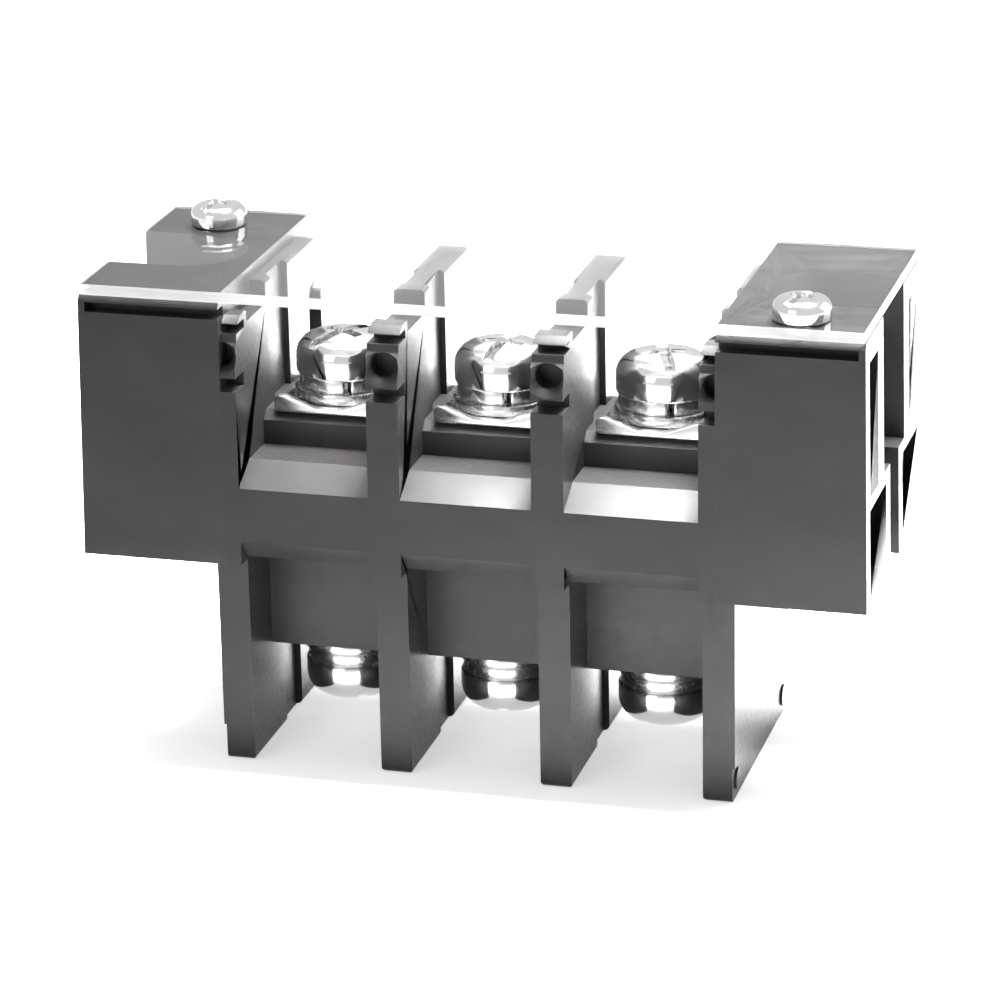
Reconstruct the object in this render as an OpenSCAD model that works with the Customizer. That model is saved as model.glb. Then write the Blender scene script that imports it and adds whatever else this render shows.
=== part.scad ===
// Three-pole feed-through barrier terminal strip with a clear flat cover.
// The end blocks sit on a panel, and the lower barriers and tail screws hang through its cut-out.
// X runs along the strip, +Y to the back, and the tips of the lower barriers are at z = 0.

/* [Housing] */
// Distance from one pole to the next
pole_pitch = 20; // [19:0.25:24]
// Thickness of a barrier
barrier_t = 3.9; // [3.4:0.1:4.5]
// Length of an end block, up to the middle of its outer barrier
end_block_l = 18.05; // [17.5:0.05:21]
// Depth of the housing at the panel, front to back
housing_d = 36.2; // [35:0.2:42]
// Height of the end blocks above the panel
block_h = 32.6; // [31:0.2:38]
// Gap between the tops of the upper barriers and the cover
barrier_gap = 1.6; // [1:0.1:3]
// Reach of the lower barriers below the panel
drop_h = 26.4; // [24:0.2:32]
// Set-back of the lower barriers from the front and back faces
drop_inset = 2.4; // [1.5:0.1:3.5]
// Draft of the outer faces above the panel, in degrees
draft = 1; // [0:0.1:1.5]

/* [Web between the barriers] */
// Set-back of the web from the front and back faces
web_inset = 10.3; // [9.5:0.1:10.6]
// Height of the terminal seat above the panel
seat_h = 16.2; // [15.4:0.1:17.5]
// Reach of the web below the panel
web_drop = 13.8; // [12.5:0.1:15]
// Height of the sill in front of and behind the web
sill_h = 12.1; // [11:0.1:13]
// Height of the sill's upright face
sill_face_h = 6.75; // [5.5:0.05:7.5]
// Fall of the sill's slopes above and below its upright face
sill_slope_h = 2.6; // [2:0.1:3]
// Depth of the guide channel down the middle of a barrier's side
channel_d = 0.75; // [0.4:0.05:1]
// Width of the guide channel
channel_w = 6.2; // [5:0.1:8]

/* [Marker clips in the barrier fronts] */
// Height of a clip, from its shoulder to the top of the barrier
clip_h = 9.3; // [9:0.1:9.6]
// Diameter of the clip's socket
clip_socket_d = 3.1; // [2.4:0.1:3.2]
// Depth of the clip's socket
clip_socket_l = 3; // [2:0.1:3.5]
// Depth of the marker groove in the top of a barrier
marker_groove_d = 1.9; // [1.4:0.1:2.1]
// Width of the marker groove
marker_groove_w = 7.4; // [6:0.1:8]

/* [Mounting slots] */
// Width of the slot for the mounting screw
slot_w = 5.8; // [5.3:0.1:6.5]
// Width of the open recess for the mounting screw's head
recess_w = 13.4; // [12:0.1:14]
// Distance of the mounting screw from the end face
slot_reach = 9.1; // [8.5:0.1:9.6]
// Height of the shoulder that the mounting screw's head bears on
shoulder_h = 13.4; // [12:0.1:15]
// Depth of the hollows in the end faces
coffer_d = 4.5; // [3:0.1:5]
// Wall between a hollow and a slot
coffer_wall = 2.4; // [2:0.1:3]

/* [Cover] */
// Thickness of the clear cover
cover_t = 1.3; // [1:0.1:2]
// Set-back of the cover's edges from the tops of the end blocks
cover_margin = 0.15; // [0:0.05:0.5]
// Distance of a cover screw from the end face
cover_screw_end = 8.8; // [8.4:0.1:9.4]
// Distance of the left cover screw from the back edge of the cover
left_screw_side = 6.5; // [4.2:0.1:7]
// Distance of the right cover screw from the front edge of the cover
right_screw_side = 4.2; // [4:0.1:7]
// Thread size of a cover screw
cover_screw_d = 3.5; // [3:0.5:4]
// Diameter of a cover screw's head
cover_head_d = 7; // [6.6:0.1:8]
// Height of a cover screw's head
cover_head_h = 2.9; // [2.4:0.1:3.4]
// Length of a cover screw under its head
cover_screw_l = 8; // [6:0.5:9]

/* [Terminals] */
// Thread size of a terminal screw
screw_d = 6; // [5:0.5:6]
// Diameter of a terminal screw's head
head_d = 11.8; // [10:0.1:12]
// Height of a terminal screw's head
head_h = 4.8; // [3.8:0.1:5]
// Length of a terminal screw under its head
screw_l = 12; // [10:0.5:12.5]
// Width of the driver slot
driver_slot_w = 1.4; // [1:0.1:1.6]
// Depth of the driver slot
driver_slot_d = 2; // [1.5:0.1:2.4]
// Thickness of a spring washer
spring_t = 1.7; // [1.2:0.1:1.8]
// Thickness of a flat washer
washer_t = 1.3; // [1:0.1:1.6]
// Outer diameter of a flat washer
washer_d = 12.2; // [11:0.1:12.6]
// Width of the contact plate
plate_w = 13.4; // [12.6:0.1:14]
// Length of the contact plate, front to back
plate_l = 15.2; // [14.8:0.1:15.4]
// Thickness of the contact plate
plate_t = 0.6; // [0.5:0.1:1]
// Height of the turned-up corners of the contact plate
corner_h = 1.4; // [0.6:0.1:1.6]
// Diameter of the tail plate
tail_plate_d = 11.4; // [10.8:0.1:13]
// Thickness of the tail plate
tail_plate_t = 0.7; // [0.6:0.1:1.5]
// Outer diameter of the conductor's bush
bush_d = 10; // [9:0.1:10.5]

/* [Fits] */
// Radial clearance of a screw in its thread, and of a bush in its hole
fit = 0.05; // [0.02:0.01:0.09]
// Radial clearance of a washer on a screw, and of a cover screw in the cover
washer_fit = 0.25; // [0.15:0.05:0.3]

/* [Hidden] */
$fn = 64;
eps = 0.01;
poles = 3;

half_d = housing_d / 2;
barrier_h = block_h - barrier_gap;
clip_base_h = barrier_h - clip_h;
strip_l = 2 * end_block_l + poles * pole_pitch;
// The middle of each barrier, and of each pole
barrier_x = [for (i = [0:poles]) (i - poles / 2) * pole_pitch];
pole_x = [for (i = [1:poles]) (i - (poles + 1) / 2) * pole_pitch];

sill_face_low = 0.4 + sill_slope_h;
sill_bevel = 2.35;
sill_top_bevel = 4.4;
top_plate_z = seat_h + plate_t;
web_low = -web_drop;
tail_plate_z = web_low - tail_plate_t;
barrier_back_inset = 3.8;
back_step_h = barrier_h - 7.7;
edge = 0.35;

lip_t = 0.85;
lip_groove_h = 1.2;
lip_groove_d = 2;
end_rib_t = 0.8;
coffer_floor = 1.4;
recess_coffer_w = 5.4;
lower_coffer_d = slot_reach + 1.9;

top_l = strip_l - 2 * block_h * tan(draft);
top_d = housing_d - 2 * block_h * tan(draft);
cover_l = top_l - 2 * cover_margin;
cover_d = top_d - 2 * cover_margin;
screw_pos = [
    [-strip_l / 2 + cover_screw_end, cover_d / 2 - left_screw_side],
    [strip_l / 2 - cover_screw_end, -cover_d / 2 + right_screw_side],
];

sides = ["left", "right"];

function sloped(z) = half_d - max(z, 0) * tan(draft);

// A (y, z) profile drawn out along X
module along_x(from, to) {
    translate([from, 0, 0])
        rotate([90, 0, 90])
            linear_extrude(to - from)
                children();
}

// An (x, z) outline drawn out along Y through the whole depth
module along_y() {
    translate([0, half_d + 1, 0])
        rotate([90, 0, 0])
            linear_extrude(housing_d + 2)
                children();
}

// Both long sides: the part drawn for the front, and its mirror image
module front_and_back() {
    children();
    mirror([0, 1, 0])
        children();
}

module both_ends() {
    children();
    rotate([0, 0, 180])
        children();
}

// ---- end blocks ----

module block_profile() {
    polygon([
        [-half_d, 0], [-sloped(block_h), block_h],
        [sloped(block_h), block_h], [half_d, 0],
    ]);
}

// Groove under the front lip of the block's top, closed at the outer end
module lip_groove() {
    translate([-strip_l / 2 + block_h * tan(draft) + end_rib_t, -half_d - 1, block_h - lip_t - lip_groove_h])
        cube([strip_l, lip_groove_d + 1 + half_d - sloped(block_h), lip_groove_h]);
}

// Bevel that leaves the lip a narrow front edge
module lip_bevel() {
    along_x(-strip_l, strip_l)
        polygon([
            [-sloped(block_h) + 0.55, block_h + eps], [-sloped(block_h) - 1, block_h + eps],
            [-sloped(block_h) - 1, block_h - lip_t + 0.15], [-sloped(block_h), block_h - lip_t + 0.15],
        ]);
}

// Slot open to the left end, round at its inner end
module end_slot(width, from, to) {
    translate([-strip_l / 2 + slot_reach, 0, from])
        cylinder(d = width, h = to - from);
    translate([-strip_l / 2 - 1, -width / 2, from])
        cube([slot_reach + 1, width, to - from]);
}

module coffer(y, width, from, to, depth) {
    translate([-strip_l / 2 - 1, y, from])
        cube([depth + 1, width, to - from]);
}

module end_coffers() {
    low_y = slot_w / 2 + coffer_wall;
    front_and_back() {
        coffer(low_y, half_d - coffer_wall - low_y, coffer_floor, shoulder_h - 1.5, lower_coffer_d);
        coffer(half_d - coffer_wall - recess_coffer_w - 0.3, recess_coffer_w,
            shoulder_h, block_h - 2.9, coffer_d);
    }
}

module end_block() {
    difference() {
        intersection() {
            along_x(-strip_l / 2, -strip_l / 2 + end_block_l)
                block_profile();
            along_y()
                polygon([
                    [-strip_l / 2, 0], [-strip_l / 2 + block_h * tan(draft), block_h],
                    [0, block_h], [0, 0],
                ]);
        }
        end_slot(recess_w, shoulder_h, block_h + 1);
        end_slot(slot_w, -1, shoulder_h + 1);
        end_coffers();
    }
}

// ---- barriers ----

// Clip on the front of a barrier: a cup below, a round bead above it and a lip at the top
module clip_cut(y_front) {
    bead = 0.75;
    bead_z = clip_base_h + 6.15;
    lip_z = clip_base_h + 8;
    // Gap between the shoulder and the cup
    translate([y_front - 1, clip_base_h])
        square([4.2, 1.7]);
    // Slope that leads from the cup back to the bead
    polygon([
        [y_front - 1, bead_z - bead], [y_front + 0.35, bead_z - bead], [y_front + 1, bead_z - 0.2],
        [y_front + 1.1, bead_z + bead], [y_front + 1.1, barrier_h + 1], [y_front - 1, barrier_h + 1],
    ]);
    // Slot between the bead and the lip
    translate([y_front, bead_z + bead])
        square([4, lip_z - bead_z - bead]);
    // Bevelled front of the lip
    polygon([
        [y_front, lip_z], [y_front + 1.5, lip_z], [y_front + 1.7, lip_z + 0.2],
        [y_front + 2.6, barrier_h - 0.5], [y_front + 4.9, barrier_h - 0.5],
        [y_front + 4.9, barrier_h + 1], [y_front, barrier_h + 1],
    ]);
}

module barrier_profile() {
    y_front = -sloped(clip_base_h);
    back = half_d - barrier_back_inset;
    difference() {
        polygon([
            [-half_d, 0], [y_front, clip_base_h], [-sloped(barrier_h), barrier_h],
            [back - 0.9, barrier_h], [back - 0.25, barrier_h - 0.25], [back, barrier_h - 0.9],
            [back, back_step_h + 2.2], [sloped(back_step_h) - 0.5, back_step_h],
            [sloped(back_step_h), back_step_h - 1], [half_d, 0],
        ]);
        clip_cut(y_front);
        // Groove for a marker strip, across the top
        translate([y_front + 4.9, barrier_h - marker_groove_d])
            square([marker_groove_w, marker_groove_d + 1]);
    }
}

// Outline of a barrier seen from the front, with its top edges broken
module barrier_outline() {
    half_t = barrier_t / 2;
    polygon([
        [-half_t, -1], [-half_t, barrier_h - edge], [-half_t + edge, barrier_h],
        [half_t - edge, barrier_h], [half_t, barrier_h - edge], [half_t, -1],
    ]);
}

// Round socket in the clip, with a countersunk mouth wider than the barrier
module clip_socket() {
    mouth = 0.8;
    y_front = -sloped(clip_base_h) + 0.2;
    translate([0, y_front, clip_base_h + 4.4])
        rotate([-90, 0, 0]) {
            translate([0, 0, -1])
                cylinder(d = clip_socket_d, h = clip_socket_l + 1);
            translate([0, 0, -mouth])
                cylinder(d1 = clip_socket_d + 4 * mouth, d2 = clip_socket_d, h = 2 * mouth);
        }
}

module channel(side, from, to) {
    outer = barrier_t / 2;
    translate([side > 0 ? outer - channel_d : -outer - 1, -channel_w / 2, from])
        cube([channel_d + 1, channel_w, to - from]);
}

module upper_barrier() {
    difference() {
        intersection() {
            along_x(-barrier_t / 2, barrier_t / 2)
                barrier_profile();
            along_y()
                barrier_outline();
        }
        clip_socket();
        for (side = [-1, 1])
            channel(side, seat_h, barrier_h + 1);
    }
}

// The half of an end barrier that stands clear of its block, with a slot and a post at its back
module end_upper_barrier() {
    back = half_d - 1.5;
    difference() {
        intersection() {
            along_x(0, barrier_t / 2)
                barrier_profile();
            along_y()
                barrier_outline();
        }
        clip_socket();
        channel(1, seat_h, barrier_h + 1);
        along_x(-1, barrier_t)
            polygon([
                [back - 0.2, back_step_h + 2.3], [back - 4.6, back_step_h + 1.7],
                [back - 5.3, back_step_h + 0.7], [back - 5.3, seat_h], [back - 0.5, seat_h],
                [back - 0.5, back_step_h + 0.1], [back + 2, back_step_h + 0.1],
            ]);
    }
}

module lower_barrier_profile() {
    front = -half_d + drop_inset;
    round = 0.8;
    difference() {
        translate([front, -drop_h])
            square([-2 * front, drop_h + 3]);
        for (side = [-1, 1])
            translate([side * -front - side * round, -drop_h + round])
                difference() {
                    translate([side > 0 ? 0 : -2 * round, -2 * round])
                        square(2 * round);
                    circle(round);
                }
    }
}

module lower_barrier_outline() {
    half_t = barrier_t / 2;
    round = 0.7;
    translate([-half_t, -drop_h + round])
        square([barrier_t, drop_h + 4]);
    translate([-half_t + round, -drop_h])
        square([barrier_t - 2 * round, round + eps]);
    for (side = [-1, 1])
        translate([side * (half_t - round), -drop_h + round])
            circle(round);
}

// Shallow rebate along the foot of an end barrier's outer face, with two round pads in it
module outer_foot_rebate() {
    depth = 0.3;
    height = 4.5;
    pad_d = 2.7;
    pad_inset = drop_inset + 2.3;
    difference() {
        translate([-barrier_t / 2 - 1, -half_d, -drop_h - 1])
            cube([depth + 1, housing_d, height + 1]);
        for (side = [-1, 1])
            translate([-barrier_t, side * (half_d - pad_inset), -drop_h + height / 2 + 0.2])
                rotate([0, 90, 0])
                    cylinder(d = pad_d, h = barrier_t);
    }
}

module lower_barrier(left_channel, right_channel, left_rebate) {
    difference() {
        intersection() {
            along_x(-barrier_t / 2, barrier_t / 2)
                lower_barrier_profile();
            along_y()
                lower_barrier_outline();
        }
        if (left_channel)
            channel(-1, -drop_h - 1, -web_drop);
        if (right_channel)
            channel(1, -drop_h - 1, -web_drop);
        if (left_rebate)
            outer_foot_rebate();
    }
}

// ---- web ----

// Outline of the web from front to back: the seat on top, and a sill with sloping edges on each side
module web_profile() {
    bevel = 1.1;
    low = sill_face_low;
    high = low + sill_face_h;
    inset = half_d - web_inset;
    front = [
        [-inset, web_low], [-inset, low - sill_slope_h], [-half_d + sill_bevel, low - sill_slope_h],
        [-sloped(low), low], [-sloped(high), high], [-sloped(high) + sill_top_bevel, sill_h],
        [-inset, sill_h], [-inset, seat_h - bevel], [-inset + bevel, seat_h],
    ];
    polygon(concat(front, [for (i = [len(front) - 1:-1:0]) [-front[i][0], front[i][1]]]));
}

module housing() {
    color([0.16, 0.15, 0.15])
    translate([0, 0, drop_h])
    difference() {
        union() {
            both_ends()
                end_block();
            along_x(barrier_x[0], barrier_x[poles])
                web_profile();
            for (i = [1:poles - 1])
                translate([barrier_x[i], 0, 0]) {
                    upper_barrier();
                    lower_barrier(true, true, false);
                }
            translate([barrier_x[0], 0, 0]) {
                end_upper_barrier();
                lower_barrier(false, true, true);
            }
            translate([barrier_x[poles], 0, 0])
                mirror([1, 0, 0]) {
                    end_upper_barrier();
                    lower_barrier(false, true, true);
                }
        }
        lip_groove_ends();
        for (x = pole_x)
            translate([x, 0, web_low - 1])
                cylinder(d = bush_d + 2 * fit, h = web_drop + seat_h + 2);
        for (pos = screw_pos)
            translate([pos[0], pos[1], block_h + cover_t - cover_screw_l - 1])
                cylinder(d = cover_screw_d + 2 * fit, h = cover_screw_l + 1);
    }
}

// The groove and bevel of each block's front lip stop at the outer barrier
module lip_groove_ends() {
    front_length = end_block_l + eps;
    for (side = [0, 1])
        mirror([side, 0, 0])
            intersection() {
                union() {
                    lip_groove();
                    lip_bevel();
                }
                translate([-strip_l / 2 - 1, -half_d - 2, block_h - 4])
                    cube([front_length + 1, half_d, 6]);
            }
}

// ---- cover ----

module cover() {
    color([0.85, 0.9, 0.92, 0.35])
    translate([0, 0, drop_h + block_h])
    difference() {
        translate([-cover_l / 2, -cover_d / 2, 0])
            cube([cover_l, cover_d, cover_t]);
        for (pos = screw_pos)
            translate([pos[0], pos[1], -1])
                cylinder(d = cover_screw_d + 2 * washer_fit, h = cover_t + 2);
    }
}

// Domed head with a flat underside at z = 0, and a combined slot and cross recess
module domed_head(diameter, height, slot, slot_depth) {
    rim = 0.42 * height;
    crown = 0.3 * diameter;
    r = diameter / 2;
    // Radius of the arc that runs from the crown's edge to the rim
    dr = r - crown;
    dz = height - rim;
    difference() {
        rotate_extrude()
            polygon(concat(
                [[0, 0], [r - 0.2, 0], [r, 0.2]],
                [for (a = [0:15:90]) [crown + dr * cos(a), rim + dz * sin(a)]],
                [[0, height]]
            ));
        for (turn = [0, 90])
            rotate([0, 0, turn])
                translate([-0.75 * crown, -slot / 2, height - slot_depth])
                    cube([1.5 * crown, slot, slot_depth + 1]);
        translate([-r, -slot / 2, height - 0.6 * slot_depth])
            cube([2 * r, slot, slot_depth + 1]);
    }
}

module screw(thread, length, diameter, height, slot, slot_depth) {
    domed_head(diameter, height, slot, slot_depth);
    translate([0, 0, -length + 0.6])
        cylinder(d = thread, h = length - 0.6 + eps);
    translate([0, 0, -length])
        cylinder(d1 = thread - 1.2, d2 = thread, h = 0.6 + eps);
}

module cover_screw(side) {
    color([0.8, 0.8, 0.82])
    translate([screw_pos[side][0], screw_pos[side][1], drop_h + block_h + cover_t])
        rotate([0, 0, 70])
            screw(cover_screw_d, cover_screw_l, cover_head_d, cover_head_h, 1, 1.3);
}

// ---- terminals ----

// Corner of the contact plate, turned up towards its front edge
module plate_corner() {
    width = 5;
    length = 1.1;
    translate([-plate_w / 2, -plate_l / 2 + length, plate_t - eps])
        rotate([90, 0, 0])
            linear_extrude(length)
                polygon([[0, 0], [0, corner_h - 0.4], [0.4, corner_h], [1.3, corner_h], [width, 0]]);
}

module conductor(i) {
    bush_l = seat_h + web_drop;
    thread_l = screw_l + 0.5;
    color([0.8, 0.8, 0.78])
    translate([pole_x[i], 0, drop_h + web_low])
    difference() {
        union() {
            cylinder(d = bush_d, h = bush_l);
            translate([0, 0, bush_l]) {
                translate([-plate_w / 2, -plate_l / 2, 0])
                    cube([plate_w, plate_l, plate_t]);
                for (turn = [0, 1])
                    for (side = [0, 1])
                        rotate([0, 0, 180 * turn])
                            mirror([side, 0, 0])
                                plate_corner();
            }
        }
        translate([0, 0, bush_l + plate_t - thread_l])
            cylinder(d = screw_d + 2 * fit, h = thread_l + 1);
        translate([0, 0, -1])
            cylinder(d = screw_d + 2 * fit, h = thread_l);
    }
}

module tail_plate(i) {
    color([0.8, 0.8, 0.78])
    translate([pole_x[i], 0, drop_h + tail_plate_z])
    difference() {
        cylinder(d = tail_plate_d, h = tail_plate_t);
        translate([0, 0, -1])
            cylinder(d = screw_d + 2 * washer_fit, h = tail_plate_t + 2);
    }
}

// Places a screw or washer on a terminal: side 1 above the contact plate, -1 below the tail plate
module at_terminal(i, side, offset) {
    level = side > 0 ? top_plate_z : tail_plate_z;
    translate([pole_x[i], 0, drop_h + level + side * offset])
        rotate([side > 0 ? 0 : 180, 0, 0])
            children();
}

module terminal_screw(i, side) {
    color([0.8, 0.8, 0.82])
    at_terminal(i, side, washer_t + spring_t)
        rotate([0, 0, 60 + 25 * i])
            screw(screw_d, screw_l, head_d, head_h, driver_slot_w, driver_slot_d);
}

module terminal_washer(i, side) {
    color([0.78, 0.78, 0.78])
    at_terminal(i, side, 0)
    difference() {
        cylinder(d = washer_d, h = washer_t);
        translate([0, 0, -1])
            cylinder(d = screw_d + 2 * washer_fit, h = washer_t + 2);
    }
}

// Spring washer, split across one side
module terminal_spring_washer(i, side) {
    gap = 0.8;
    color([0.7, 0.7, 0.7])
    at_terminal(i, side, washer_t)
    difference() {
        cylinder(d = head_d - 0.6, h = spring_t);
        translate([0, 0, -1])
            cylinder(d = screw_d + 2 * washer_fit, h = spring_t + 2);
        rotate([0, 0, -70])
            translate([0, -gap / 2, -1])
                cube([head_d, gap, spring_t + 2]);
    }
}

housing();
cover();
for (i = [0, 1]) {
    cover_screw(i);
}
for (i = [0:poles - 1]) {
    conductor(i);
    tail_plate(i);
    terminal_screw(i, 1);
    terminal_spring_washer(i, 1);
    terminal_washer(i, 1);
    terminal_screw(i, -1);
    terminal_spring_washer(i, -1);
    terminal_washer(i, -1);
}
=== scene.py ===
import bpy, bmesh, math
from mathutils import Matrix, Vector


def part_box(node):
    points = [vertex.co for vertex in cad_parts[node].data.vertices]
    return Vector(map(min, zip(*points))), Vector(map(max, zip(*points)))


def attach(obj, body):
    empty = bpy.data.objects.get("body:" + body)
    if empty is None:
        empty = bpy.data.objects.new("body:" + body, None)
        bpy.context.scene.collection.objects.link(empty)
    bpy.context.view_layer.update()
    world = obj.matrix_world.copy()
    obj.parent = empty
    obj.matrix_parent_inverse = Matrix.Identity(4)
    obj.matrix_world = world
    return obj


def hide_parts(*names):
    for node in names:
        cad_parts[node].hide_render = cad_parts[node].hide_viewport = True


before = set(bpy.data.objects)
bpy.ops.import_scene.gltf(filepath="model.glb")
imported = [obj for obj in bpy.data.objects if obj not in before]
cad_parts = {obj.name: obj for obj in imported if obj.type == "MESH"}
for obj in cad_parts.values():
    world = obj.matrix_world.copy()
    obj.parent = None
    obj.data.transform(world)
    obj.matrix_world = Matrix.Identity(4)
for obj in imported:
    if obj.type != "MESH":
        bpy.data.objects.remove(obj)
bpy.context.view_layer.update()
scene = bpy.context.scene
scene.view_settings.view_transform = "Standard"
mm = 0.001


def newMesh(name, bm):
    mesh = bpy.data.meshes.new(name)
    bm.to_mesh(mesh)
    bm.free()
    piece = bpy.data.objects.new(name, mesh)
    scene.collection.objects.link(piece)
    return piece


def smoothByAngle(mesh, degrees):
    limit = math.radians(degrees)
    bm = bmesh.new()
    bm.from_mesh(mesh)
    for face in bm.faces:
        face.smooth = True
    for edge in bm.edges:
        edge.smooth = len(edge.link_faces) == 2 and edge.calc_face_angle(0) < limit
    bm.to_mesh(mesh)
    bm.free()


def mergedCopy(node, name):
    # the CAD mesh is loose triangles, so a copy is merged and its flat faces joined
    bm = bmesh.new()
    bm.from_mesh(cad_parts[node].data)
    bmesh.ops.remove_doubles(bm, verts=bm.verts, dist=0.002 * mm)
    bmesh.ops.dissolve_limit(bm, angle_limit=math.radians(0.3), verts=bm.verts, edges=bm.edges)
    bmesh.ops.recalc_face_normals(bm, faces=bm.faces)
    return newMesh(name, bm)


def bakeModifiers(piece):
    # turns a piece with modifiers into a plain mesh and takes the modifiers off
    graph = bpy.context.evaluated_depsgraph_get()
    plain = bpy.data.meshes.new_from_object(piece.evaluated_get(graph), depsgraph=graph)
    piece.modifiers.clear()
    piece.data = plain


def bevelEdges(piece, width, segments=2, degrees=30):
    cut = piece.modifiers.new("edges", "BEVEL")
    cut.width = width
    cut.segments = segments
    cut.limit_method = "ANGLE"
    cut.angle_limit = math.radians(degrees)
    cut.use_clamp_overlap = True
    cut.miter_outer = "MITER_ARC"
    bakeModifiers(piece)


def wear(piece, *materials):
    piece.data.materials.clear()
    for material in materials:
        piece.data.materials.append(material)


class Nodes:
    def __init__(self, name):
        self.material = bpy.data.materials.new(name)
        self.material.use_nodes = True
        self.tree = self.material.node_tree
        self.shader = self.tree.nodes["Principled BSDF"]
        self.output = self.tree.nodes["Material Output"]
        self.coord = self.add("ShaderNodeTexCoord").outputs["Object"]

    def add(self, kind, **values):
        node = self.tree.nodes.new(kind)
        for key, value in values.items():
            setattr(node, key, value)
        return node

    def link(self, a, b):
        self.tree.links.new(a, b)

    def noise(self, scale, detail=3.0, stretch=(1, 1, 1), roughness=0.5):
        place = self.add("ShaderNodeMapping")
        place.inputs["Scale"].default_value = stretch
        self.link(self.coord, place.inputs["Vector"])
        node = self.add("ShaderNodeTexNoise")
        node.inputs["Scale"].default_value = scale
        node.inputs["Detail"].default_value = detail
        node.inputs["Roughness"].default_value = roughness
        self.link(place.outputs["Vector"], node.inputs["Vector"])
        return node.outputs["Fac"]

    def range(self, value, low, high, fromLow=0.3, fromHigh=0.7):
        node = self.add("ShaderNodeMapRange")
        node.inputs["From Min"].default_value = fromLow
        node.inputs["From Max"].default_value = fromHigh
        node.inputs["To Min"].default_value = low
        node.inputs["To Max"].default_value = high
        self.link(value, node.inputs["Value"])
        return node.outputs["Result"]

    def ramp(self, value, stops):
        node = self.add("ShaderNodeValToRGB")
        ramp = node.color_ramp
        while len(ramp.elements) < len(stops):
            ramp.elements.new(0.5)
        for element, (place, colour) in zip(ramp.elements, stops):
            element.position = place
            element.color = (*colour, 1)
        self.link(value, node.inputs["Fac"])
        return node.outputs["Color"]

    def bump(self, height, strength, distance):
        node = self.add("ShaderNodeBump")
        node.inputs["Strength"].default_value = strength
        node.inputs["Distance"].default_value = distance
        self.link(height, node.inputs["Height"])
        self.link(node.outputs["Normal"], self.shader.inputs["Normal"])
        return node


mouldingLook = {
    "dark": (0.0135, 0.0125, 0.0125), "light": (0.022, 0.0205, 0.0205),
    "grain": 1500, "cloud": 90, "roughLow": 0.34, "roughHigh": 0.44, "grainDepth": 0.012 * mm,
    "specular": 0.3,
}


def makeMoulding():
    look = mouldingLook
    n = Nodes("moulded_phenolic")
    cloud = n.noise(look["cloud"], 4, (1, 1, 1.8))
    grain = n.noise(look["grain"], 2)
    colour = n.ramp(cloud, [(0.3, look["dark"]), (0.7, look["light"])])
    n.link(colour, n.shader.inputs["Base Color"])
    n.shader.inputs["Specular IOR Level"].default_value = look["specular"]
    n.link(n.range(grain, look["roughLow"], look["roughHigh"]), n.shader.inputs["Roughness"])
    n.bump(grain, 0.35, look["grainDepth"])
    return n.material


nickelLook = {"name": "bright_nickel", "colour": (0.80, 0.80, 0.80), "roughLow": 0.09, "roughHigh": 0.17,
              "scale": 700, "stretch": (1, 1, 1), "depth": 0.003 * mm}
zincLook = {"name": "zinc_plate", "colour": (0.70, 0.70, 0.70), "roughLow": 0.18, "roughHigh": 0.3,
            "scale": 900, "stretch": (1, 1, 1), "depth": 0.006 * mm}
tinLook = {"name": "tinned_copper", "colour": (0.72, 0.72, 0.71), "roughLow": 0.2, "roughHigh": 0.32,
           "scale": 800, "stretch": (0.3, 2.5, 1), "depth": 0.006 * mm}


def makePlating(look):
    n = Nodes(look["name"])
    fine = n.noise(look["scale"], 3, look["stretch"])
    cloud = n.noise(260, 2)
    tone = n.ramp(cloud, [(0.25, [c * 0.93 for c in look["colour"]]), (0.75, look["colour"])])
    n.link(tone, n.shader.inputs["Base Color"])
    n.shader.inputs["Metallic"].default_value = 1
    n.link(n.range(fine, look["roughLow"], look["roughHigh"]), n.shader.inputs["Roughness"])
    n.bump(fine, 0.2, look["depth"])
    return n.material


def lampsPass(n):
    # lamps shine through the clear sheet, so what is under it is lit
    path = n.add("ShaderNodeLightPath")
    through = n.add("ShaderNodeBsdfTransparent")
    through.inputs["Color"].default_value = (0.9, 0.9, 0.9, 1)
    mix = n.add("ShaderNodeMixShader")
    n.link(path.outputs["Is Shadow Ray"], mix.inputs[0])
    n.link(n.shader.outputs[0], mix.inputs[1])
    n.link(through.outputs[0], mix.inputs[2])
    n.link(mix.outputs[0], n.output.inputs["Surface"])


def makeClearSheet():
    n = Nodes("clear_acrylic")
    n.shader.inputs["Base Color"].default_value = (0.985, 0.99, 0.99, 1)
    n.shader.inputs["Transmission Weight"].default_value = 1
    n.shader.inputs["IOR"].default_value = 1.49
    n.link(n.range(n.noise(500, 2), 0.0, 0.02), n.shader.inputs["Roughness"])
    lampsPass(n)
    return n.material


def makeSawnEdge():
    n = Nodes("sawn_acrylic_edge")
    streaks = n.noise(900, 3, (0.15, 0.15, 3))
    tone = n.ramp(streaks, [(0.3, (0.80, 0.81, 0.81)), (0.7, (0.95, 0.95, 0.95))])
    n.link(tone, n.shader.inputs["Base Color"])
    n.shader.inputs["Transmission Weight"].default_value = 0.35
    n.shader.inputs["IOR"].default_value = 1.49
    n.link(n.range(streaks, 0.3, 0.5), n.shader.inputs["Roughness"])
    n.bump(streaks, 0.3, 0.02 * mm)
    return n.material


moulding = makeMoulding()
screwPlating = makePlating(nickelLook)
washerPlating = makePlating(zincLook)
tinPlating = makePlating(tinLook)
clearSheet = makeClearSheet()
sawnEdge = makeSawnEdge()
print("finishes made")


housingLook = {"edge": 0.14 * mm}


def makeHousing():
    piece = mergedCopy("housing", "housing_moulding")
    bevelEdges(piece, housingLook["edge"], 2, 28)
    smoothByAngle(piece.data, 15)
    wear(piece, moulding)
    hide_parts("housing")
    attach(piece, "housing")
    return piece


makeHousing()
print("housing made")


coverLook = {"edge": 0.12 * mm}


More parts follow.
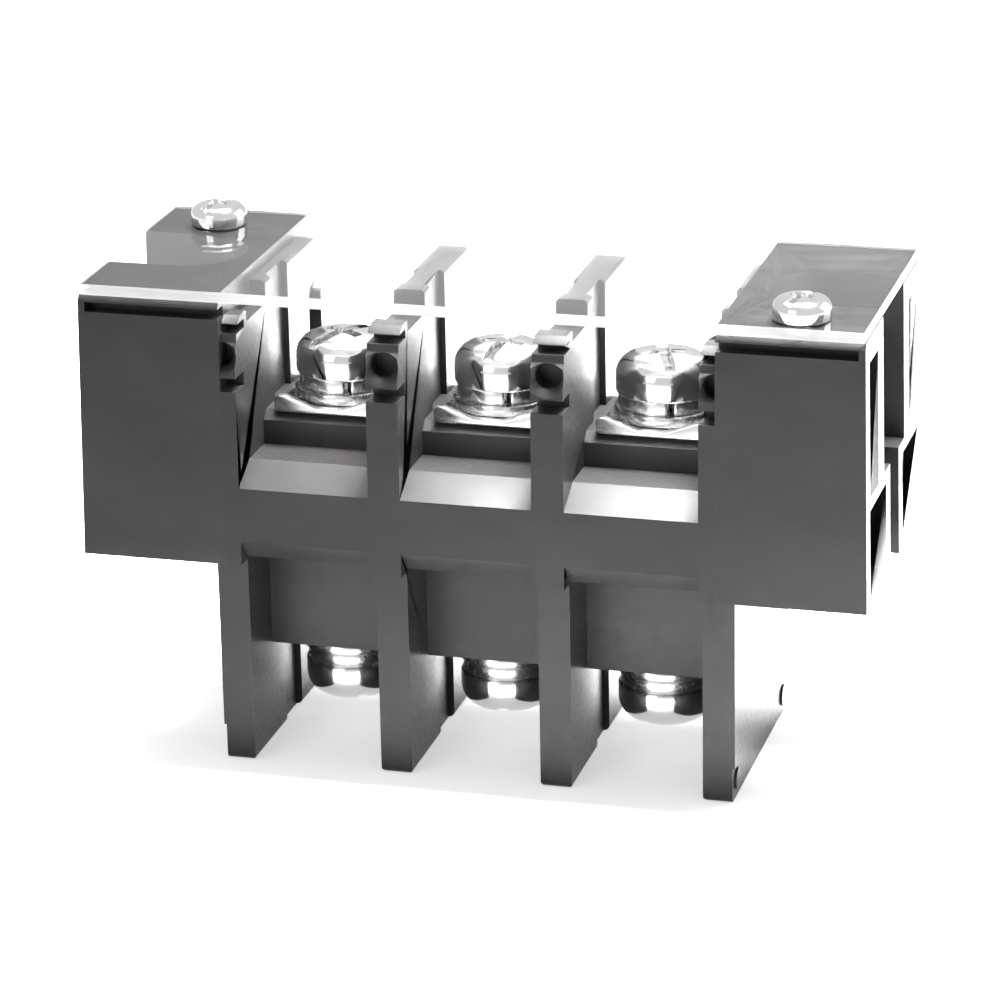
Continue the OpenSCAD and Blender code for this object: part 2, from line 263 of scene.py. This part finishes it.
def makeCover():
    piece = mergedCopy("cover", "clear_cover_sheet")
    bevelEdges(piece, coverLook["edge"], 1, 60)
    wear(piece, clearSheet, sawnEdge)
    low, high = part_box("cover")
    for face in piece.data.polygons:
        n, c = face.normal, face.center
        outer = min(c.x - low[0], high[0] - c.x, c.y - low[1], high[1] - c.y) < 0.25 * mm
        face.material_index = 1 if outer and abs(n.z) < 0.9 else 0
        face.use_smooth = False
    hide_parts("cover")
    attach(piece, "cover")
    return piece


makeCover()
print("cover made")


threadLook = {"pitch": 1.0 * mm, "depth": 0.47 * mm, "steps": 40}
coverThreadLook = {"pitch": 0.6 * mm, "depth": 0.28 * mm, "steps": 32}
terminalScrewLook = {"length": 11.9 * mm, "radius": 2.98 * mm, "thread": threadLook,
                     "slotWidth": 1.4 * mm, "slotDepth": 2.0 * mm, "headHeight": 4.8 * mm}
coverScrewLook = {"length": 7.9 * mm, "radius": 1.74 * mm, "thread": coverThreadLook,
                  "slotWidth": 1.0 * mm, "slotDepth": 1.3 * mm, "headHeight": 2.9 * mm, "turn": 70}
easedLook = {"washer": 0.25 * mm, "springWasher": 0.22 * mm, "conductor": 0.12 * mm, "tailPlate": 0.1 * mm}
headLook = {"crown": 0.3, "rim": 0.42, "dome": 0.3 * mm, "edge": 0.1 * mm, "sides": 72}


def makeThreadTree():
    # a core with a ridge that winds up it, from z = 0 to its length
    tree = bpy.data.node_groups.new("threadedShank", "GeometryNodeTree")
    face = tree.interface
    face.new_socket("Geometry", in_out="OUTPUT", socket_type="NodeSocketGeometry")
    for name in ("Radius", "Length", "Pitch", "Depth"):
        face.new_socket(name, in_out="INPUT", socket_type="NodeSocketFloat")
    face.new_socket("Steps", in_out="INPUT", socket_type="NodeSocketInt")
    face.new_socket("Finish", in_out="INPUT", socket_type="NodeSocketMaterial")
    add, link = tree.nodes.new, tree.links.new
    given, made = add("NodeGroupInput").outputs, add("NodeGroupOutput").inputs

    def combine(operation, a, b):
        node = add("ShaderNodeMath")
        node.operation = operation
        for value, socket in ((a, node.inputs[0]), (b, node.inputs[1])):
            if isinstance(value, (int, float)):
                socket.default_value = value
            else:
                link(value, socket)
        return node.outputs[0]

    middle = combine("SUBTRACT", given["Radius"], given["Depth"])
    spiral = add("GeometryNodeCurveSpiral")
    windingLength = combine("SUBTRACT", given["Length"], combine("MULTIPLY", given["Depth"], 2))
    link(given["Steps"], spiral.inputs["Resolution"])
    link(combine("DIVIDE", windingLength, given["Pitch"]), spiral.inputs["Rotations"])
    link(middle, spiral.inputs["Start Radius"])
    link(middle, spiral.inputs["End Radius"])
    link(windingLength, spiral.inputs["Height"])
    upright = add("GeometryNodeSetCurveNormal")
    upright.mode = "Z_UP"
    link(spiral.outputs[0], upright.inputs[0])
    ridge = add("GeometryNodeCurvePrimitiveCircle")
    ridge.inputs["Resolution"].default_value = 4
    link(given["Depth"], ridge.inputs["Radius"])
    swept = add("GeometryNodeCurveToMesh")
    swept.inputs["Fill Caps"].default_value = True
    link(upright.outputs[0], swept.inputs["Curve"])
    link(ridge.outputs[0], swept.inputs["Profile Curve"])
    lifted = add("GeometryNodeTransform")
    lift = add("ShaderNodeCombineXYZ")
    link(given["Depth"], lift.inputs["Z"])
    link(swept.outputs[0], lifted.inputs["Geometry"])
    link(lift.outputs[0], lifted.inputs["Translation"])
    core = add("GeometryNodeMeshCylinder")
    core.inputs["Vertices"].default_value = 48
    link(middle, core.inputs["Radius"])
    link(given["Length"], core.inputs["Depth"])
    raised = add("GeometryNodeTransform")
    half = add("ShaderNodeCombineXYZ")
    link(combine("MULTIPLY", given["Length"], 0.5), half.inputs["Z"])
    link(core.outputs["Mesh"], raised.inputs["Geometry"])
    link(half.outputs[0], raised.inputs["Translation"])
    joined, real, finished = (add(kind) for kind in (
        "GeometryNodeJoinGeometry", "GeometryNodeRealizeInstances", "GeometryNodeSetMaterial"))
    link(raised.outputs[0], joined.inputs[0])
    link(lifted.outputs[0], joined.inputs[0])
    link(joined.outputs[0], real.inputs[0])
    link(real.outputs[0], finished.inputs["Geometry"])
    link(given["Finish"], finished.inputs["Material"])
    link(finished.outputs[0], made[0])
    return tree


threadTree = makeThreadTree()


def makeShank(radius, length, look):
    # a bmesh of the threaded shank, its top at z = 0
    holder = bpy.data.objects.new("shankHolder", bpy.data.meshes.new("shankHolder"))
    scene.collection.objects.link(holder)
    wind = holder.modifiers.new("thread", "NODES")
    wind.node_group = threadTree
    sizes = {"Radius": radius, "Length": length, "Pitch": look["pitch"], "Depth": look["depth"],
             "Steps": look["steps"], "Finish": screwPlating}
    for item in threadTree.interface.items_tree:
        if item.in_out == "INPUT" and item.name in sizes:
            wind[item.identifier] = sizes[item.name]
    bakeModifiers(holder)
    shank = bmesh.new()
    shank.from_mesh(holder.data)
    bpy.data.objects.remove(holder)
    bmesh.ops.recalc_face_normals(shank, faces=shank.faces)
    bmesh.ops.translate(shank, verts=shank.verts, vec=(0, 0, -length))
    return shank


def makeHead(radius, height, slotWidth, slotDepth):
    # a pan head with its underside at z = 0, and a slot with a cross in it
    look = headLook
    crown, rim = look["crown"] * 2 * radius, look["rim"] * height
    top = height - look["dome"]
    outline = [(0, 0), (radius - 0.25 * mm, 0), (radius - 0.07 * mm, 0.07 * mm), (radius, 0.25 * mm)]
    outline += [(crown + (radius - crown) * math.cos(a), rim + (top - rim) * math.sin(a))
                for a in (math.pi / 2 * k / 10 for k in range(11))]
    outline += [(crown * k / 5, height - look["dome"] * (k / 5) ** 2) for k in (4, 3, 2, 1, 0)]
    bm = bmesh.new()
    ring = [bm.verts.new((r, 0, z)) for r, z in outline]
    edges = [bm.edges.new(pair) for pair in zip(ring, ring[1:])]
    bmesh.ops.spin(bm, geom=ring + edges, cent=(0, 0, 0), axis=(0, 0, 1), angle=2 * math.pi,
                   steps=look["sides"], use_merge=True)
    bmesh.ops.remove_doubles(bm, verts=bm.verts, dist=0.001 * mm)
    bmesh.ops.recalc_face_normals(bm, faces=bm.faces)
    head = newMesh("head", bm)
    for length, depth, turn in ((2.4 * radius, 0.6 * slotDepth, 0), (1.5 * crown, slotDepth, 0),
                                (1.5 * crown, slotDepth, 90)):
        cut = bmesh.new()
        place = Matrix.Rotation(math.radians(turn), 4, "Z") @ Matrix.Translation((0, 0, height))
        size = Matrix.Diagonal((length, slotWidth, 2 * depth, 1))
        bmesh.ops.create_cube(cut, size=1, matrix=place @ size)
        cutter = newMesh("cutter", cut)
        bite = head.modifiers.new("slot", "BOOLEAN")
        bite.operation, bite.solver, bite.object = "DIFFERENCE", "EXACT", cutter
        bakeModifiers(head)
        bpy.data.objects.remove(cutter)
    bevelEdges(head, look["edge"], 2, 35)
    return head


def makeScrew(node, name, look, turn, side=1):
    # side 1 stands with its head up, -1 with its head down
    low, high = (Vector(v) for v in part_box(node))
    radius = (high.x - low.x) / 2
    headHeight = look["headHeight"]
    head = makeHead(radius, headHeight, look["slotWidth"], look["slotDepth"])
    bm = bmesh.new()
    bm.from_mesh(head.data)
    bpy.data.objects.remove(head)
    shank = makeShank(look["radius"], look["length"], look["thread"])
    loose = bpy.data.meshes.new("loose")
    shank.to_mesh(loose)
    shank.free()
    bm.from_mesh(loose)
    level = high.z - headHeight if side > 0 else low.z + headHeight
    place = Matrix.Translation(((low.x + high.x) / 2, (low.y + high.y) / 2, level))
    tip = Matrix.Rotation(0 if side > 0 else math.pi, 4, "X")
    bmesh.ops.transform(bm, verts=bm.verts, matrix=place @ tip @ Matrix.Rotation(math.radians(turn), 4, "Z"))
    piece = newMesh(name, bm)
    smoothByAngle(piece.data, 35)
    wear(piece, screwPlating)
    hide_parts(node)
    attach(piece, node)  # each screw is a body of its own name


def makeEased(node, body, material, width):
    # the node's own shape with its edges eased
    piece = mergedCopy(node, node + "_eased")
    bevelEdges(piece, width, 2, 35)
    smoothByAngle(piece.data, 35)
    wear(piece, material)
    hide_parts(node)
    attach(piece, body)


for end in ("left", "right"):
    makeScrew(f"cover_screw_{end}", f"cover_pan_screw_{end}", coverScrewLook, coverScrewLook["turn"])
for i in (1, 2, 3):
    for kind, side in (("wire", 1), ("tail", -1)):
        # each driver slot is 25 degrees further round than the last
        makeScrew(f"{kind}_screw_{i}", f"{kind}_pan_screw_{i}", terminalScrewLook, 35 + 25 * i, side)
        washers = f"{kind}_washers_{i}"
        makeEased(f"{kind}_washer_{i}", washers, washerPlating, easedLook["washer"])
        makeEased(f"{kind}_spring_washer_{i}", washers, washerPlating,
                  easedLook["springWasher"])
    makeEased(f"conductor_{i}", "housing", tinPlating, easedLook["conductor"])
    makeEased(f"tail_plate_{i}", "housing", tinPlating, easedLook["tailPlate"])
print("metal finished")


stageLook = {"floor": 0.82, "lift": 0.5, "world": 0.5}


def makeFloor():
    bm = bmesh.new()
    bmesh.ops.create_grid(bm, x_segments=1, y_segments=1, size=3)
    floor = newMesh("floor", bm)
    n = Nodes("pale_floor")
    n.shader.inputs["Base Color"].default_value = (stageLook["floor"],) * 3 + (1,)
    n.shader.inputs["Roughness"].default_value = 0.9
    path = n.add("ShaderNodeLightPath")
    seen = n.add("ShaderNodeMath", operation="MAXIMUM")
    seenMore = n.add("ShaderNodeMath", operation="MAXIMUM")
    n.link(path.outputs["Is Camera Ray"], seen.inputs[0])
    n.link(path.outputs["Is Glossy Ray"], seen.inputs[1])
    n.link(seen.outputs[0], seenMore.inputs[0])
    n.link(path.outputs["Is Transmission Ray"], seenMore.inputs[1])
    lift = n.add("ShaderNodeEmission")
    lift.inputs["Strength"].default_value = stageLook["lift"]
    plain = n.add("ShaderNodeAddShader")
    n.link(n.shader.outputs[0], plain.inputs[0])
    n.link(lift.outputs[0], plain.inputs[1])
    mix = n.add("ShaderNodeMixShader")
    n.link(seenMore.outputs[0], mix.inputs[0])
    n.link(n.shader.outputs[0], mix.inputs[1])
    n.link(plain.outputs[0], mix.inputs[2])
    n.link(mix.outputs[0], n.output.inputs["Surface"])
    wear(floor, n.material)


def makeWorld():
    world = bpy.data.worlds.new("studio")
    world.use_nodes = True
    scene.world = world
    tree = world.node_tree
    back = tree.nodes["Background"]
    back.inputs["Color"].default_value = (1, 1, 1, 1)
    back.inputs["Strength"].default_value = stageLook["world"]
    white = tree.nodes.new("ShaderNodeBackground")
    white.inputs["Strength"].default_value = 1
    path = tree.nodes.new("ShaderNodeLightPath")
    one = tree.nodes.new("ShaderNodeMath")
    two = tree.nodes.new("ShaderNodeMath")
    one.operation = two.operation = "MAXIMUM"
    mix = tree.nodes.new("ShaderNodeMixShader")
    link = tree.links.new
    link(path.outputs["Is Camera Ray"], one.inputs[0])
    link(path.outputs["Is Glossy Ray"], one.inputs[1])
    link(one.outputs[0], two.inputs[0])
    link(path.outputs["Is Transmission Ray"], two.inputs[1])
    link(two.outputs[0], mix.inputs[0])
    link(back.outputs[0], mix.inputs[1])
    link(white.outputs[0], mix.inputs[2])
    link(mix.outputs[0], tree.nodes["World Output"].inputs["Surface"])


def addLamp(name, place, target, size, power):
    data = bpy.data.lights.new(name, "AREA")
    data.shape = "RECTANGLE"
    data.size, data.size_y = size
    data.energy = power
    lamp = bpy.data.objects.new(name, data)
    lamp.location = place
    lamp.rotation_euler = (Vector(target) - Vector(place)).to_track_quat("-Z", "Y").to_euler()
    scene.collection.objects.link(lamp)
    return lamp


makeFloor()
makeWorld()
centre = (0, 0, 0.035)
addLamp("sideSoftbox", (0.55, 0.35, 0.28), centre, (0.5, 0.5), 3.0)
addLamp("topSoftbox", (-0.1, 0.15, 0.7), centre, (0.5, 0.5), 2.5)
addLamp("frontFill", (-0.35, -0.75, 0.35), centre, (0.4, 0.4), 1.5)
sweep = addLamp("sweepLamp", (0.09, 0.13, 0.5), (0.09, 0.13, 0), (0.16, 0.26), 5.0)
sweep.data.spread = math.radians(50)  # lights the floor behind the right end
print("stage made")


cameraLook = {"azimuth": 15.586, "elevation": 19.652, "roll": -1.106, "distance": 0.514865,
              "aim": (1.25 * mm, -7.1 * mm, 33.16 * mm), "lens": 154.31}


def makeCamera():
    look = cameraLook
    a, e, r = (math.radians(look[k]) for k in ("azimuth", "elevation", "roll"))
    back = Vector((math.sin(a) * math.cos(e), -math.cos(a) * math.cos(e), math.sin(e)))
    right = (-back).cross(Vector((0, 0, 1))).normalized()
    up = right.cross(-back)
    rightTurned = math.cos(r) * right + math.sin(r) * up
    upTurned = -math.sin(r) * right + math.cos(r) * up
    data = bpy.data.cameras.new("camera")
    data.lens = look["lens"]
    data.sensor_width = 36
    data.clip_start, data.clip_end = 0.01, 20
    camera = bpy.data.objects.new("camera", data)
    place = Vector(look["aim"]) + look["distance"] * back
    axes = Matrix((rightTurned, upTurned, back)).transposed().to_4x4()
    camera.matrix_world = Matrix.Translation(place) @ axes
    scene.collection.objects.link(camera)
    scene.camera = camera


makeCamera()
print("camera made")
